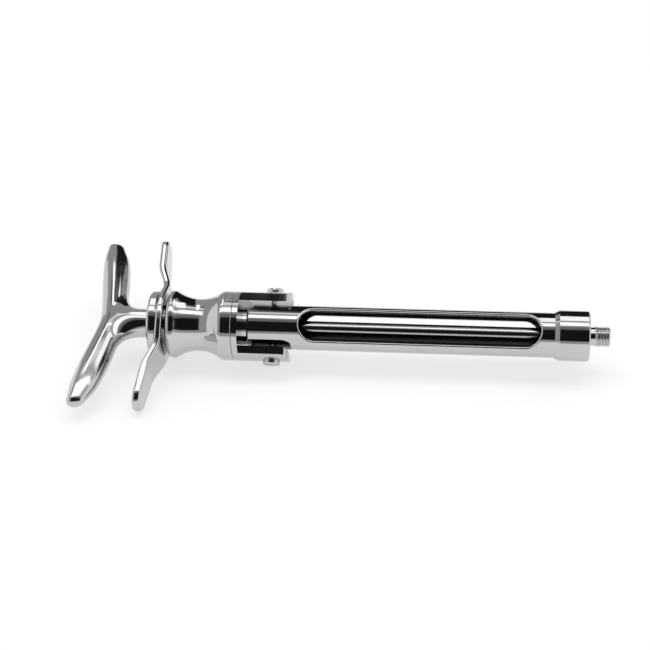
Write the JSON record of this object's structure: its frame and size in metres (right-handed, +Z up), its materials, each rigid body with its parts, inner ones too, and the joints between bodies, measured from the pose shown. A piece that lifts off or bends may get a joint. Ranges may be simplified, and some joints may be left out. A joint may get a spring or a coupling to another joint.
{
  "type": "aspirating dental syringe",
  "caption": "Chromed aspirating dental syringe with a windowed barrel, sprung lock sleeve, winged finger grip, harpoon plunger and thumb bar.",
  "frame": {"origin": "centre of the needle adaptor's front face, on the long axis", "axes": "+X along the long axis out of the needle end, +Z up with the syringe lying on its side"},
  "size_m": [0.1409, 0.0588, 0.0234],
  "materials": {
    "chrome": "mirror-polished",
    "spring_steel": "drawn wire",
    "bush_brass": "turned",
    "tip_steel": "ground"
  },
  "bodies": {
    "syringe_body": {"barrel_tube": "chrome", "front_cap": "chrome", "needle_adaptor": "chrome", "yoke": "chrome", "pivot_screw_left": "chrome", "pivot_screw_right": "chrome", "spool_body": "chrome", "lock_spring": "spring_steel"},
    "lock_carrier": {"lock_sleeve": "chrome", "guide_bush": "bush_brass", "finger_grip": "chrome", "rear_nut": "chrome"},
    "plunger": {"plunger_rod": "chrome", "harpoon": "tip_steel"},
    "thumb_bar": {"t_handle": "chrome"}
  },
  "joints": [
    {"name": "lock_slide", "type": "slide", "parent": "syringe_body", "child": "lock_carrier", "axis": [-1, 0, 0], "range_m": [0, 0.0035], "stiffness_N_per_m": 1500, "springref_m": -0.004, "deforming": ["lock_spring"]},
    {"name": "plunger_slide", "type": "slide", "parent": "lock_carrier", "child": "plunger", "axis": [-1, 0, 0], "range_m": [-0.0012, 0.084]},
    {"name": "thumb_bar_turn", "type": "hinge", "parent": "plunger", "child": "thumb_bar", "pos_m": [-0.1336, 0, 0], "axis": [1, 0, 0], "continuous": true}
  ]
}
